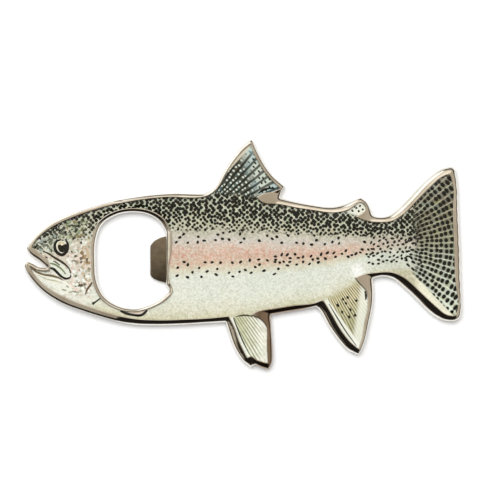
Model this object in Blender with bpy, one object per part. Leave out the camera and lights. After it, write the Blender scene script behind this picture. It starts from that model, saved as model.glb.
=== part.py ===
"""Souvenir bottle opener cast in the outline of a trout.

A plated zinc plate with a raised rim holds a printed trout in a recess, under a
domed sheet of clear resin.  A cap opening goes through the plate behind the
head, with a flat tooth on its tail side.  Two disc magnets sit in the back.

Frame: the back lies on the plane z = 0 and the trout faces +Z.  The head points
to -X, the tail to +X and the dorsal fin to +Y.  The origin is the middle of the
plate's outline.
"""

from math import ceil, radians

import bmesh
import bpy
from mathutils import Vector

MM = 0.001

# Casting
CAST_HEIGHT = 4.0 * MM
FRONT_CHAMFER = 0.5 * MM
BACK_CHAMFER = 0.3 * MM
RECESS_DEPTH = 1.5 * MM
TOOTH_BOTTOM = 0.2 * MM
TOOTH_TOP = 2.0 * MM

# Laminate in the recess, from the recess floor upwards
SIDE_CLEARANCE = 0.3 * MM
SHEET_GAP = 0.1 * MM
ADHESIVE_THICKNESS = 0.15 * MM
LABEL_THICKNESS = 0.2 * MM
DOME_EDGE_THICKNESS = 0.7 * MM
DOME_RISE = 0.4 * MM
DOME_CHAMFER = 0.5 * MM

# Disc magnets, each on a film of glue in its own pocket
MAGNET_RADIUS = 6.0 * MM
MAGNET_THICKNESS = 1.3 * MM
MAGNET_CHAMFER = 0.2 * MM
GLUE_RADIUS = 5.4 * MM
GLUE_THICKNESS = 0.1 * MM
POCKET_DEPTH = 1.6 * MM
MAGNET_CENTRES = {"front": (-9.0 * MM, -1.0 * MM), "rear": (31.0 * MM, 0.5 * MM)}

CUTTER_OVERRUN = 1.0 * MM
CURVE_STEP = radians(8.0)
MAGNET_SIDES = 40

# Outlines are in millimetres, run head - back - tail - belly, and pass smoothly
# through their points except at the ones marked SHARP.
SHARP = True

PLATE_BACK = [
    (-74.4, 2.2, SHARP), (-72.3, 5.2), (-69.6, 7.9), (-66.0, 10.6), (-60.0, 13.6),
    (-52.0, 16.3), (-44.0, 18.5), (-34.0, 20.2), (-24.0, 21.0), (-13.6, 20.8, SHARP),
]
PLATE_DORSAL_FIN = [
    (-9.6, 22.9), (-6.7, 28.2), (-3.0, 33.9), (0.2, 37.6), (3.1, 39.7, SHARP),
    (4.4, 36.6), (7.0, 31.6), (10.0, 27.3), (14.4, 23.5, SHARP), (13.3, 22.0),
    (12.9, 19.5, SHARP),
]
PLATE_ADIPOSE_FIN = [
    (18.0, 18.3), (25.0, 17.0), (30.8, 16.5), (35.5, 17.6), (40.6, 19.6, SHARP),
    (42.7, 17.9), (43.9, 15.4), (45.0, 13.6), (47.5, 13.0), (50.5, 13.6),
]
PLATE_TAIL_TOP = [
    (53.5, 15.7), (60.0, 22.4), (66.0, 28.0), (69.6, 29.9), (72.4, 30.1), (73.4, 28.9),
]
PLATE_TAIL_BOTTOM = [
    (74.9, -21.4), (73.6, -22.6), (70.2, -22.9), (66.0, -21.1), (60.0, -15.5),
    (55.0, -10.8), (51.5, -8.2), (47.5, -7.5),
]
PLATE_ANAL_FIN = [
    (44.7, -8.3, SHARP), (45.0, -13.0), (44.6, -17.5), (43.2, -24.6), (41.9, -30.0),
    (39.9, -34.6, SHARP), (36.6, -33.2), (32.7, -29.2), (29.4, -24.3), (26.9, -19.7),
    (25.3, -17.9, SHARP),
]
PLATE_PELVIC_FIN = [
    (19.5, -19.1), (14.0, -20.0), (9.6, -20.8, SHARP), (9.7, -25.0), (10.2, -32.0),
    (10.0, -37.0), (8.8, -39.7, SHARP), (6.5, -39.0), (4.3, -37.9, SHARP),
    (2.6, -38.9, SHARP), (-0.4, -36.2), (-3.0, -32.1), (-4.7, -27.5), (-5.9, -23.3, SHARP),
]
PLATE_BELLY = [
    (-12.0, -23.6), (-20.0, -24.1), (-30.0, -24.4), (-38.0, -24.1), (-46.0, -22.2),
    (-54.0, -19.8), (-62.0, -16.8), (-68.3, -12.9), (-72.2, -9.0), (-74.5, -5.4),
    (-75.0, -3.6), (-74.3, -2.7),
]
PLATE_MOUTH = [
    (-72.4, -3.2), (-70.4, -4.3), (-67.2, -4.5, SHARP), (-69.8, -2.1), (-73.6, 0.8, SHARP),
]

# Wavy rear edge of the tail: shallow scallops along a slightly bowed line, in mm.
TAIL_EDGE_TOP = (73.4, 27.6)
TAIL_EDGE_BOTTOM = (75.0, -19.9)
TAIL_EDGE_BOW = 0.4
TAIL_SCALLOPS = 12
SCALLOP_BULGE = 0.2

RECESS_BACK = [
    (-72.5, 2.6, SHARP), (-71.0, 4.9), (-68.4, 7.3), (-65.0, 9.6), (-60.0, 12.0),
    (-52.0, 14.9), (-44.0, 17.1), (-34.0, 18.9), (-24.0, 19.7), (-15.0, 19.5),
]
RECESS_DORSAL_FIN = [
    (-11.8, 20.2), (-8.6, 22.9), (-6.1, 27.3), (-2.4, 33.0), (0.4, 36.1),
    (2.7, 38.0, SHARP), (3.4, 35.8), (5.5, 31.4), (8.5, 27.0), (12.9, 22.6, SHARP),
    (10.0, 21.5), (7.2, 21.0), (4.6, 19.6, SHARP),
]
RECESS_ADIPOSE_FIN = [
    (6.6, 17.9), (12.0, 17.2), (19.0, 15.9), (25.0, 15.0), (31.0, 14.3), (36.2, 15.3),
    (38.4, 16.7), (40.3, 17.9), (41.8, 17.0), (42.2, 15.4), (41.0, 14.2),
    (38.7, 12.9, SHARP), (42.0, 11.6), (47.0, 11.0),
]
RECESS_TAIL = [
    (51.5, 11.5), (55.0, 13.6), (59.5, 18.2), (64.5, 23.2), (68.4, 26.5), (70.9, 27.2),
    (71.9, 25.4), (72.3, 16.0), (72.7, 2.0), (73.2, -10.0), (73.7, -19.3), (72.9, -20.8),
    (70.9, -20.8), (66.0, -17.4), (60.0, -11.8), (55.6, -7.9), (51.0, -6.0), (46.0, -6.1),
]
RECESS_ANAL_FIN = [
    (42.0, -6.7), (38.4, -8.0, SHARP), (40.3, -10.2), (42.5, -12.8), (43.0, -16.8),
    (42.0, -22.6), (41.0, -28.4), (39.8, -32.4, SHARP), (37.2, -30.2), (33.6, -25.6),
    (30.6, -20.4), (27.6, -15.4, SHARP),
]
RECESS_PELVIC_FIN = [
    (24.2, -16.7), (19.0, -17.3), (10.0, -18.7), (4.6, -19.8), (2.6, -20.9, SHARP),
    (6.0, -22.2), (7.8, -24.2), (8.3, -30.4), (8.6, -37.4, SHARP), (4.8, -36.2),
    (2.9, -34.7, SHARP), (1.5, -35.4, SHARP), (-1.2, -29.8), (-2.8, -25.2),
    (-4.8, -21.1, SHARP),
]
RECESS_BELLY = [
    (-12.0, -21.8), (-20.0, -22.2), (-29.0, -22.4), (-37.0, -22.0), (-45.0, -20.3),
    (-53.0, -17.8), (-61.0, -14.7), (-66.0, -12.0), (-70.0, -8.8), (-72.5, -5.6),
    (-73.2, -4.1, SHARP), (-71.6, -5.0), (-69.6, -5.7), (-66.4, -5.7, SHARP), (-66.6, -3.4),
]

# The cap opening, and the edge of the rim that stands round it.
CAP_OPENING = [
    (-37.2, 14.6), (-31.8, 13.5), (-28.2, 11.0), (-26.4, 7.8, SHARP), (-26.4, -10.2, SHARP),
    (-25.4, -12.2), (-27.4, -14.7), (-31.4, -17.1), (-37.2, -18.7), (-43.3, -17.5),
    (-47.8, -14.4), (-50.2, -9.6), (-50.9, -2.0), (-50.7, 4.6), (-48.7, 10.2), (-43.9, 13.5),
]
OPENING_RIM = [
    (-37.2, 15.9), (-31.0, 14.8), (-26.8, 11.9), (-25.0, 8.2, SHARP), (-25.0, -9.9, SHARP),
    (-24.1, -12.5), (-26.5, -15.7), (-30.9, -18.1), (-37.2, -19.7), (-43.8, -18.5),
    (-48.8, -15.2), (-51.4, -10.0), (-52.1, -2.0), (-51.9, 5.0), (-49.7, 11.0), (-44.4, 14.7),
]
TOOTH = [
    (-25.9, 6.5, SHARP), (-28.6, 5.8), (-30.7, 4.6), (-32.0, 3.1, SHARP),
    (-32.0, -7.2, SHARP), (-31.0, -8.3), (-28.8, -9.2), (-25.9, -9.9, SHARP),
]


def tail_edge_points():
    """Return the scalloped rear edge of the tail: a notch, then a crest, in turn."""
    top = Vector(TAIL_EDGE_TOP)
    run = Vector(TAIL_EDGE_BOTTOM) - top
    points = [(top.x, top.y, SHARP)]
    for scallop in range(TAIL_SCALLOPS):
        for half, bulge in ((0.5, SCALLOP_BULGE), (1.0, 0.0)):
            share = (scallop + half) / TAIL_SCALLOPS
            place = top + run * share
            across = place.x + bulge + TAIL_EDGE_BOW * 4 * share * (1 - share)
            points.append((across, place.y) if bulge else (across, place.y, SHARP))
    return points


def tangent(before, point, after):
    """Return the direction in which a smooth curve passes through a point."""
    arriving = point - before
    leaving = after - point
    bent = arriving.normalized() * leaving.length + leaving.normalized() * arriving.length
    return bent.normalized()


def smooth_path(points):
    """Return a closed path through the points, in metres, finer where it bends."""
    places = [Vector(point[:2]) * MM for point in points]
    sharp = [len(point) == 3 for point in points]
    count = len(places)
    path = []
    for index in range(count):
        start = places[index]
        end = places[(index + 1) % count]
        chord = end - start
        leave = chord.normalized()
        arrive = chord.normalized()
        if not sharp[index]:
            leave = tangent(places[index - 1], start, end)
        if not sharp[(index + 1) % count]:
            arrive = tangent(start, end, places[(index + 2) % count])
        bend = leave.angle(chord) + arrive.angle(chord)
        steps = max(1, ceil(bend / CURVE_STEP))
        for step in range(steps):
            path.append(hermite(start, end, leave * chord.length, arrive * chord.length, step / steps))
    return path


def hermite(start, end, leave, arrive, share):
    """Return the point at a share of the way along a cubic Hermite segment."""
    square = share * share
    cube = square * share
    return (
        start * (2 * cube - 3 * square + 1)
        + leave * (cube - 2 * square + share)
        + end * (3 * square - 2 * cube)
        + arrive * (cube - square)
    )


def signed_area(path):
    """Return the area inside a path, negative where it runs clockwise."""
    return 0.5 * sum(path[i - 1].cross(path[i]) for i in range(len(path)))


def grown(path, distance):
    """Return the path moved outwards by a distance, or inwards where it is negative."""
    side = 1.0 if signed_area(path) > 0 else -1.0
    moved = []
    for index, point in enumerate(path):
        before = (point - path[index - 1]).normalized()
        after = (path[(index + 1) % len(path)] - point).normalized()
        normal = Vector((before.y + after.y, -before.x - after.x)).normalized() * side
        stretch = 1.0 / max(0.35, normal.dot(Vector((before.y, -before.x)) * side))
        moved.append(point + normal * distance * stretch)
    return moved


def centred(path, centre):
    """Return the path shifted so that the centre becomes the origin."""
    return [point - centre for point in path]


def middle(path):
    """Return the middle of the path's bounding box."""
    across = [point.x for point in path]
    along = [point.y for point in path]
    return Vector((min(across) + max(across), min(along) + max(along))) / 2


def add_loop(work, path, height):
    """Add a closed loop of edges at a height."""
    corners = [work.verts.new((point.x, point.y, height)) for point in path]
    for index, corner in enumerate(corners):
        work.edges.new((corners[index - 1], corner))


def chamfer_end(work, faces, width, rise):
    """Inset the flat faces at one end and move the inner part by the rise."""
    bmesh.ops.inset_region(work, faces=faces, thickness=width, use_even_offset=True)
    corners = {corner for face in faces for corner in face.verts}
    bmesh.ops.translate(work, verts=list(corners), vec=(0, 0, rise))


def plate_mesh(name, loops, bottom, top, top_chamfer=None, bottom_chamfer=None):
    """Return a mesh of the area between the loops, from the bottom to the top.

    The chamfers are (width, height) pairs and lie inside the stated heights.
    """
    lower = bottom + (bottom_chamfer[1] if bottom_chamfer else 0)
    upper = top - (top_chamfer[1] if top_chamfer else 0)
    work = bmesh.new()
    for path in loops:
        add_loop(work, path, lower)
    bmesh.ops.triangle_fill(work, edges=work.edges[:], use_beauty=True)
    floor = work.faces[:]
    raised = bmesh.ops.extrude_face_region(work, geom=floor)["geom"]
    lid = [item for item in raised if isinstance(item, bmesh.types.BMFace)]
    corners = [item for item in raised if isinstance(item, bmesh.types.BMVert)]
    bmesh.ops.translate(work, verts=corners, vec=(0, 0, upper - lower))
    bmesh.ops.recalc_face_normals(work, faces=work.faces[:])
    if top_chamfer:
        chamfer_end(work, lid, top_chamfer[0], top_chamfer[1])
    if bottom_chamfer:
        base = [face for face in work.faces if face.normal.z < -0.9]
        chamfer_end(work, base, bottom_chamfer[0], -bottom_chamfer[1])
    mesh = bpy.data.meshes.new(name)
    work.to_mesh(mesh)
    work.free()
    return mesh


def make_material(name, colour, roughness, metallic=0.0, alpha=1.0):
    """Return a plain Principled material."""
    material = bpy.data.materials.new(name)
    material.use_nodes = True
    shader = material.node_tree.nodes["Principled BSDF"]
    shader.inputs["Base Color"].default_value = (*colour, 1.0)
    shader.inputs["Roughness"].default_value = roughness
    shader.inputs["Metallic"].default_value = metallic
    shader.inputs["Alpha"].default_value = alpha
    return material


def add_object(name, mesh, material=None):
    """Link a mesh as a named object of the model."""
    item = bpy.data.objects.new(name, mesh)
    bpy.context.scene.collection.objects.link(item)
    if material:
        mesh.materials.append(material)
    return item


def add_helper(name, mesh):
    """Link a mesh that only shapes another object."""
    helper = add_object(name, mesh)
    helper.hide_render = True
    helper.display_type = "WIRE"
    return helper


def combine(item, helper, operation):
    """Join a helper's shape to the item, or cut it away."""
    step = item.modifiers.new(helper.name, "BOOLEAN")
    step.operation = operation
    step.solver = "EXACT"
    step.object = helper


def disc_mesh(name, radius, thickness, chamfer=0.0):
    """Return a disc that stands on its own origin."""
    work = bmesh.new()
    bmesh.ops.create_cone(
        work, cap_ends=True, segments=MAGNET_SIDES, radius1=radius, radius2=radius, depth=thickness
    )
    bmesh.ops.translate(work, verts=work.verts[:], vec=(0, 0, thickness / 2))
    if chamfer:
        rims = [edge for edge in work.edges if abs(edge.verts[0].co.z - edge.verts[1].co.z) < chamfer]
        bmesh.ops.bevel(work, geom=rims, offset=chamfer, segments=1, affect="EDGES")
    mesh = bpy.data.meshes.new(name)
    work.to_mesh(mesh)
    work.free()
    mesh.shade_smooth()
    mesh.set_sharp_from_angle(angle=radians(30))
    return mesh


def build_casting(plate, recess, opening, rim, tooth):
    """Build the plate with its rim, recess, cap opening, tooth and back pockets."""
    metal = make_material("plated_zinc", (0.46, 0.41, 0.36), 0.18, metallic=1.0)
    blank = plate_mesh(
        "cast_body",
        [plate, opening],
        0.0,
        CAST_HEIGHT,
        top_chamfer=(FRONT_CHAMFER, FRONT_CHAMFER),
        bottom_chamfer=(BACK_CHAMFER, BACK_CHAMFER),
    )
    casting = add_object("cast_body", blank, metal)
    bar = plate_mesh("tooth_bar", [tooth], TOOTH_BOTTOM, TOOTH_TOP)
    combine(casting, add_helper("tooth_bar", bar), "UNION")
    recess_floor = CAST_HEIGHT - RECESS_DEPTH
    cut = plate_mesh("recess_cut", [recess, rim], recess_floor, CAST_HEIGHT + CUTTER_OVERRUN)
    combine(casting, add_helper("recess_cut", cut), "DIFFERENCE")
    for place, (across, along) in MAGNET_CENTRES.items():
        name = "pocket_cut_" + place
        pocket = disc_mesh(name, MAGNET_RADIUS + SIDE_CLEARANCE, POCKET_DEPTH + CUTTER_OVERRUN)
        cutter = add_helper(name, pocket)
        cutter.location = (across, along, -CUTTER_OVERRUN)
        combine(casting, cutter, "DIFFERENCE")


def build_laminate(recess, rim):
    """Build the adhesive sheet, the printed sheet and the clear dome, in that order."""
    loops = [grown(recess, -SIDE_CLEARANCE), grown(rim, SIDE_CLEARANCE)]
    level = CAST_HEIGHT - RECESS_DEPTH + SHEET_GAP
    adhesive = make_material("acrylic_adhesive", (0.78, 0.76, 0.68), 0.6)
    mesh = plate_mesh("label_adhesive", loops, level, level + ADHESIVE_THICKNESS)
    add_object("label_adhesive", mesh, adhesive)

    level += ADHESIVE_THICKNESS + SHEET_GAP
    print_film = make_material("printed_film", (0.42, 0.44, 0.36), 0.45)
    mesh = plate_mesh("printed_label", loops, level, level + LABEL_THICKNESS)
    add_object("printed_label", mesh, print_film)

    level += LABEL_THICKNESS + SHEET_GAP
    resin = make_material("clear_resin", (0.93, 0.94, 0.92), 0.05, alpha=0.3)
    crown = level + DOME_EDGE_THICKNESS + DOME_RISE
    mesh = plate_mesh("clear_dome", loops, level, crown, top_chamfer=(DOME_CHAMFER, DOME_RISE))
    add_object("clear_dome", mesh, resin)


def build_magnets():
    """Build each magnet and the glue film between it and its pocket's floor."""
    magnet_finish = make_material("nickel_magnet", (0.55, 0.55, 0.56), 0.25, metallic=1.0)
    glue_finish = make_material("set_glue", (0.72, 0.66, 0.48), 0.4)
    for place, (across, along) in MAGNET_CENTRES.items():
        mesh = disc_mesh("magnet_" + place, MAGNET_RADIUS, MAGNET_THICKNESS, MAGNET_CHAMFER)
        magnet = add_object("magnet_" + place, mesh, magnet_finish)
        magnet.location = (across, along, 0)
        mesh = disc_mesh("magnet_glue_" + place, GLUE_RADIUS, GLUE_THICKNESS)
        glue = add_object("magnet_glue_" + place, mesh, glue_finish)
        glue.location = (across, along, MAGNET_THICKNESS + SHEET_GAP)


def plate_points():
    """Return the plate's whole outline."""
    return (
        PLATE_BACK
        + PLATE_DORSAL_FIN
        + PLATE_ADIPOSE_FIN
        + PLATE_TAIL_TOP
        + tail_edge_points()
        + PLATE_TAIL_BOTTOM
        + PLATE_ANAL_FIN
        + PLATE_PELVIC_FIN
        + PLATE_BELLY
        + PLATE_MOUTH
    )


def recess_points():
    """Return the recess's whole outline."""
    return (
        RECESS_BACK
        + RECESS_DORSAL_FIN
        + RECESS_ADIPOSE_FIN
        + RECESS_TAIL
        + RECESS_ANAL_FIN
        + RECESS_PELVIC_FIN
        + RECESS_BELLY
    )


def build():
    """Build the opener in an empty scene."""
    for item in list(bpy.data.objects):
        bpy.data.objects.remove(item, do_unlink=True)
    outlines = [plate_points(), recess_points(), CAP_OPENING, OPENING_RIM, TOOTH]
    paths = [smooth_path(points) for points in outlines]
    centre = middle(paths[0])
    plate, recess, opening, rim, tooth = [centred(path, centre) for path in paths]
    build_casting(plate, recess, opening, rim, tooth)
    build_laminate(recess, rim)
    build_magnets()


build()
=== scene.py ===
import random
from math import cos, hypot, pi, radians, sin

import bmesh
import bpy
import numpy as np
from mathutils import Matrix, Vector, geometry


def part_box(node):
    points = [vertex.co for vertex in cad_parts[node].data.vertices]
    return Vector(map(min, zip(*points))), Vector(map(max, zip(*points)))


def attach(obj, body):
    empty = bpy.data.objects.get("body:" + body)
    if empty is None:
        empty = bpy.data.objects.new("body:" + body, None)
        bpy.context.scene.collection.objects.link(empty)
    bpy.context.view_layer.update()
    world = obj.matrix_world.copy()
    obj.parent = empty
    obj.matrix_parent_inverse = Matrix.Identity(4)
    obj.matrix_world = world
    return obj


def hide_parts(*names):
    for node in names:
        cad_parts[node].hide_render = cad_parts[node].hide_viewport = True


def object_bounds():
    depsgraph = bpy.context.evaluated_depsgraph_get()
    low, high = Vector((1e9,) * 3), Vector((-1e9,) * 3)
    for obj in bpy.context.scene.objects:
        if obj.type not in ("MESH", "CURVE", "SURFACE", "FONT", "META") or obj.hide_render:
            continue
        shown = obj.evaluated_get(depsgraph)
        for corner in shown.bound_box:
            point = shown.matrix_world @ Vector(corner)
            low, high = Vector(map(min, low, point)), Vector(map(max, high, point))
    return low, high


# Looks of the trout bottle opener: a bright plated casting, a printed label and a clear domed resin.
# Sizes below are in millimetres unless a name says otherwise.

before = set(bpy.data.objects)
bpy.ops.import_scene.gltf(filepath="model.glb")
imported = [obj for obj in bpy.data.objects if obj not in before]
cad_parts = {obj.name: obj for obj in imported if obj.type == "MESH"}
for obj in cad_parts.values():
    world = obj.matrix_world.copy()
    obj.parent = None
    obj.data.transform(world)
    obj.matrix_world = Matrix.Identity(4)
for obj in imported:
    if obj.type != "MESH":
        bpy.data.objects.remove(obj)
cadLow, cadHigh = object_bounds()
print("frame loaded:", len(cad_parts), "CAD parts")

mm = 0.001
bodyName = "root"
rng = random.Random(41)
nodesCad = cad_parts
tiny = 1e-12      # keeps divisions away from zero
batch = 1500      # points measured at a time


# edges taken from the CAD parts

def mergedCopy(partName):
    # clean copy of a CAD mesh to read edges from, the part itself is left alone
    work = bmesh.new()
    work.from_mesh(nodesCad[partName].data)
    bmesh.ops.remove_doubles(work, verts=work.verts[:], dist=0.001 * mm)
    return work


def wallLoops(work, level):
    # closed runs of edges where upright walls meet one height, longest first, in mm
    neighbours = {}
    for edge in work.edges:
        if any(abs(v.co.z - level * mm) > 0.003 * mm for v in edge.verts):
            continue
        if not any(abs(face.normal.z) < 0.1 for face in edge.link_faces):
            continue
        first, second = edge.verts
        neighbours.setdefault(first.index, []).append(second.index)
        neighbours.setdefault(second.index, []).append(first.index)
    work.verts.ensure_lookup_table()
    loops = []
    left = set(neighbours)
    while left:
        start = left.pop()
        run = [start]
        here = start
        while True:
            onward = [n for n in neighbours[here] if n in left]
            if not onward:
                break
            here = onward[0]
            left.discard(here)
            run.append(here)
        loops.append(np.array([work.verts[i].co.xy[:] for i in run]) / mm)
    loops.sort(key=loopLength, reverse=True)
    return loops


def loopLength(loop):
    return float(np.linalg.norm(np.roll(loop, -1, 0) - loop, axis=1).sum())


def turned(loop, wanted):
    # loop run anticlockwise (wanted 1) or clockwise (wanted -1)
    ahead = np.roll(loop, -1, 0)
    area = (loop[:, 0] * ahead[:, 1] - loop[:, 1] * ahead[:, 0]).sum()
    return loop if area * wanted > 0 else loop[::-1].copy()


def unit(vectors):
    return vectors / np.maximum(np.linalg.norm(vectors, axis=-1, keepdims=True), tiny)


def smoothLoop(loop, spacing, cornerAngle=25.0):
    # fine loop through the given points, rounded between them and sharp at true corners
    count = len(loop)
    arriving = loop - np.roll(loop, 1, 0)
    leaving = np.roll(loop, -1, 0) - loop
    bent = unit(unit(arriving) * np.linalg.norm(leaving, axis=1, keepdims=True)
                + unit(leaving) * np.linalg.norm(arriving, axis=1, keepdims=True))
    swing = (unit(arriving) * unit(leaving)).sum(1)
    corner = swing < cos(radians(cornerAngle))
    fine = []
    for i in range(count):
        j = (i + 1) % count
        start, end = loop[i], loop[j]
        span = np.linalg.norm(end - start)
        direct = (end - start) / span
        leave = direct if corner[i] else bent[i]
        arrive = direct if corner[j] else bent[j]
        steps = max(1, round(span / spacing))
        for k in range(steps):
            t = k / steps
            fine.append(start * (2 * t**3 - 3 * t**2 + 1) + leave * span * (t**3 - 2 * t**2 + t)
                        + end * (3 * t**2 - 2 * t**3) + arrive * span * (t**3 - t**2))
    return np.array(fine)


def distanceTo(points, loop):
    # exact distance from each point to the nearest stretch of a loop
    start = loop[None]
    along = (np.roll(loop, -1, 0) - loop)[None]
    squared = np.maximum((along ** 2).sum(-1), tiny)
    found = np.empty(len(points))
    for begin in range(0, len(points), batch):
        offset = points[begin:begin + batch, None, :] - start
        share = np.clip((offset * along).sum(-1) / squared, 0, 1)
        found[begin:begin + batch] = np.linalg.norm(offset - share[..., None] * along, axis=-1).min(1)
    return found


def insideLoops(points, loops):
    # even-odd test: inside the outline and outside its holes
    inside = np.zeros(len(points), bool)
    for loop in loops:
        ahead = np.roll(loop, -1, 0)
        for begin in range(0, len(points), batch):
            px = points[begin:begin + batch, 0][:, None]
            py = points[begin:begin + batch, 1][:, None]
            crosses = (loop[:, 1] > py) != (ahead[:, 1] > py)
            rise = np.where(ahead[:, 1] == loop[:, 1], tiny, ahead[:, 1] - loop[:, 1])
            reach = loop[:, 0] + (py - loop[:, 1]) * (ahead[:, 0] - loop[:, 0]) / rise
            inside[begin:begin + batch] ^= ((crosses & (px < reach)).sum(1) % 2).astype(bool)
    return inside


def offsetPoints(loop, distance, spacing):
    # points at one distance on the left of a loop, fanned round the corners that stick in
    before = unit(loop - np.roll(loop, 1, 0))
    after = unit(np.roll(loop, -1, 0) - loop)
    found = []
    for point, come, go in zip(loop, before, after):
        turn = come[0] * go[1] - come[1] * go[0]
        normalIn = np.array((-come[1], come[0]))
        normalOut = np.array((-go[1], go[0]))
        if turn < -0.15:
            start = np.arctan2(normalIn[1], normalIn[0])
            swing = (np.arctan2(normalOut[1], normalOut[0]) - start + pi) % (2 * pi) - pi
            steps = max(1, int(abs(swing) * distance / spacing + 0.5))
            for k in range(steps + 1):
                angle = start + swing * k / steps
                found.append(point + distance * np.array((cos(angle), sin(angle))))
        else:
            normal = unit(normalIn + normalOut)
            found.append(point + normal * distance / max(0.4, float(normal @ normalOut)))
    return np.array(found)


def gridPoints(loops, spacing):
    # even grid inside the loops, kept clear of their edges
    low, high = loops[0].min(0), loops[0].max(0)
    columns, lines = (np.arange(low[k], high[k], spacing) for k in (0, 1))
    across, up = np.meshgrid(columns, lines)
    points = np.column_stack((across.ravel(), up.ravel()))
    points = points[insideLoops(points, loops)]
    nearest = np.min([distanceTo(points, loop) for loop in loops], axis=0)
    return points[nearest > 0.6 * spacing]


def rowPoints(loops, rows, spacing):
    # rows of points that follow each loop, dropped where another edge comes nearer
    kept = []
    for index, loop in enumerate(loops):
        for distance in rows[index]:
            row = offsetPoints(loop, distance, spacing)
            nearest = np.min([distanceTo(row, other) for other in loops], axis=0)
            row = row[(nearest > 0.93 * distance) & insideLoops(row, loops)]
            kept.append(row)
    points = np.concatenate(kept) if kept else np.zeros((0, 2))
    taken = {}
    chosen = []
    cell = 0.45 * spacing
    for point in points:
        key = (round(point[0] / cell), round(point[1] / cell))
        cells = [(key[0] + dx, key[1] + dy) for dx in (-1, 0, 1) for dy in (-1, 0, 1)]
        near = [q for place in cells for q in taken.get(place, ())]
        if all(hypot(*(point - q)) > 0.06 for q in near):
            taken.setdefault(key, []).append(point)
            chosen.append(point)
    return np.array(chosen).reshape(-1, 2)


def fillSheet(loops, extra, height):
    # triangles between the loops, through the extra points, at the height a formula gives
    points = [Vector(p) for loop in loops for p in loop]
    edges = []
    first = 0
    for loop in loops:
        count = len(loop)
        edges += [(first + i, first + (i + 1) % count) for i in range(count)]
        first += count
    points += [Vector(p) for p in extra]
    corners, _, faces, *_ = geometry.delaunay_2d_cdt(points, edges, [], 0, 1e-5, False)
    flat = np.array([c[:] for c in corners])
    tris = np.array([f[:] for f in faces])
    tris = tris[insideLoops(flat[tris].mean(1), loops)]
    return np.column_stack((flat, height(flat))), tris


def flatAt(height):
    return lambda points: np.full(len(points), height)


def newPiece(name, mesh):
    # object for a mesh, in the scene, active and alone selected
    piece = bpy.data.objects.new(name, mesh)
    bpy.context.scene.collection.objects.link(piece)
    bpy.ops.object.select_all(action="DESELECT")
    bpy.context.view_layer.objects.active = piece
    piece.select_set(True)
    return piece


def closeMesh(gap):
    # corners nearer than the gap joined, faces turned outwards
    bpy.ops.object.mode_set(mode="EDIT")
    bpy.ops.mesh.select_all(action="SELECT")
    bpy.ops.mesh.remove_doubles(threshold=gap * mm)
    bpy.ops.mesh.normals_make_consistent(inside=False)
    bpy.ops.object.mode_set(mode="OBJECT")


def thicken(height):
    # flat face pulled up into a closed slab, height in metres
    bpy.ops.object.mode_set(mode="EDIT")
    bpy.ops.mesh.select_all(action="SELECT")
    bpy.ops.mesh.extrude_region_move(TRANSFORM_OT_translate={"value": (0, 0, height)})
    bpy.ops.mesh.select_all(action="SELECT")
    bpy.ops.mesh.normals_make_consistent(inside=False)
    bpy.ops.object.mode_set(mode="OBJECT")


def bevelEdges(piece, width, segments, sharper):
    # rounds the edges that turn by more than an angle in degrees
    bevel = piece.modifiers.new("edges", "BEVEL")
    bevel.width = width * mm
    bevel.segments = segments
    bevel.limit_method = "ANGLE"
    bevel.angle_limit = radians(sharper)
    bpy.ops.object.modifier_apply(modifier="edges")


class Shell:
    # gathers sheets and walls, then closes them into one mesh
    def __init__(self):
        self.corners = []
        self.faces = []
        self.count = 0

    def add(self, corners, faces):
        self.corners.append(np.asarray(corners, float))
        self.faces += [tuple(int(i) + self.count for i in face) for face in faces]
        self.count += len(corners)

    def sheet(self, loops, extra, height):
        self.add(*fillSheet(loops, extra, height))

    def wall(self, loop, levels):
        count = len(loop)
        rings = [np.column_stack((loop, np.broadcast_to(level, count))) for level in levels]
        faces = []
        for step in range(len(levels) - 1):
            for i in range(count):
                j = (i + 1) % count
                low, high = step * count, (step + 1) * count
                faces.append((low + i, low + j, high + j, high + i))
        self.add(np.concatenate(rings), faces)

    def finish(self, name, smoothAngle=40.0):
        mesh = bpy.data.meshes.new(name)
        mesh.from_pydata((np.concatenate(self.corners) * mm).tolist(), [], self.faces)
        piece = newPiece(name, mesh)
        closeMesh(0.002)
        bpy.ops.object.shade_smooth_by_angle(angle=radians(smoothAngle))
        piece.select_set(False)
        return piece


cast = {
    "spacing": 0.5,
    "shoulderWide": 2.5,    # rolled outer edge, across and down
    "shoulderDrop": 2.0,
    "headWide": 0.75,       # the head's edge is flatter, with a smaller round
    "headDrop": 0.6,
    "headEnds": (-44.0, -37.0),
    "holeShoulderWide": 1.1,
    "holeShoulderDrop": 1.1,
    "lip": 0.14,            # small round where the rim meets the recess
    "backRound": 0.3,
    "profileSteps": 9,
    "pocketSides": 96,
    "pocketRadius": 6.3,
    "pocketDepth": 1.6,
    "pocketRows": (0.2, 0.8),
    "backGrid": 2.0,        # spacing of the points across the flat back
    "outerWaist": 1.2,      # height of the extra ring of corners on each upright wall
    "holeWaist": 1.6,
    "lipGuard": 0.1,        # flat row beside each small round, which keeps its shading clean
    "backGuard": 0.15,
}

castWork = mergedCopy("cast_body")
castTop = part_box("cast_body")[1].z / mm
recessFloor = 2.5
chamferFoot = 3.5     # height where the upright walls end and the front chamfer starts
outlineLoop, openingLoop = wallLoops(castWork, chamferFoot)[:2]
recessLoop, ringLoop = wallLoops(castWork, recessFloor)[:2]
castWork.free()
print("loops", [round(loopLength(l), 1) for l in (outlineLoop, openingLoop, recessLoop, ringLoop)])

outline = turned(smoothLoop(outlineLoop, cast["spacing"]), 1)
opening = turned(smoothLoop(openingLoop, cast["spacing"]), -1)
recess = turned(smoothLoop(recessLoop, cast["spacing"]), 1)
ring = turned(smoothLoop(ringLoop, cast["spacing"]), -1)


def profileRows(wide, steps):
    return [wide * (1 - cos(pi / 2 * k / steps)) for k in range(1, steps + 1)]


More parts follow.
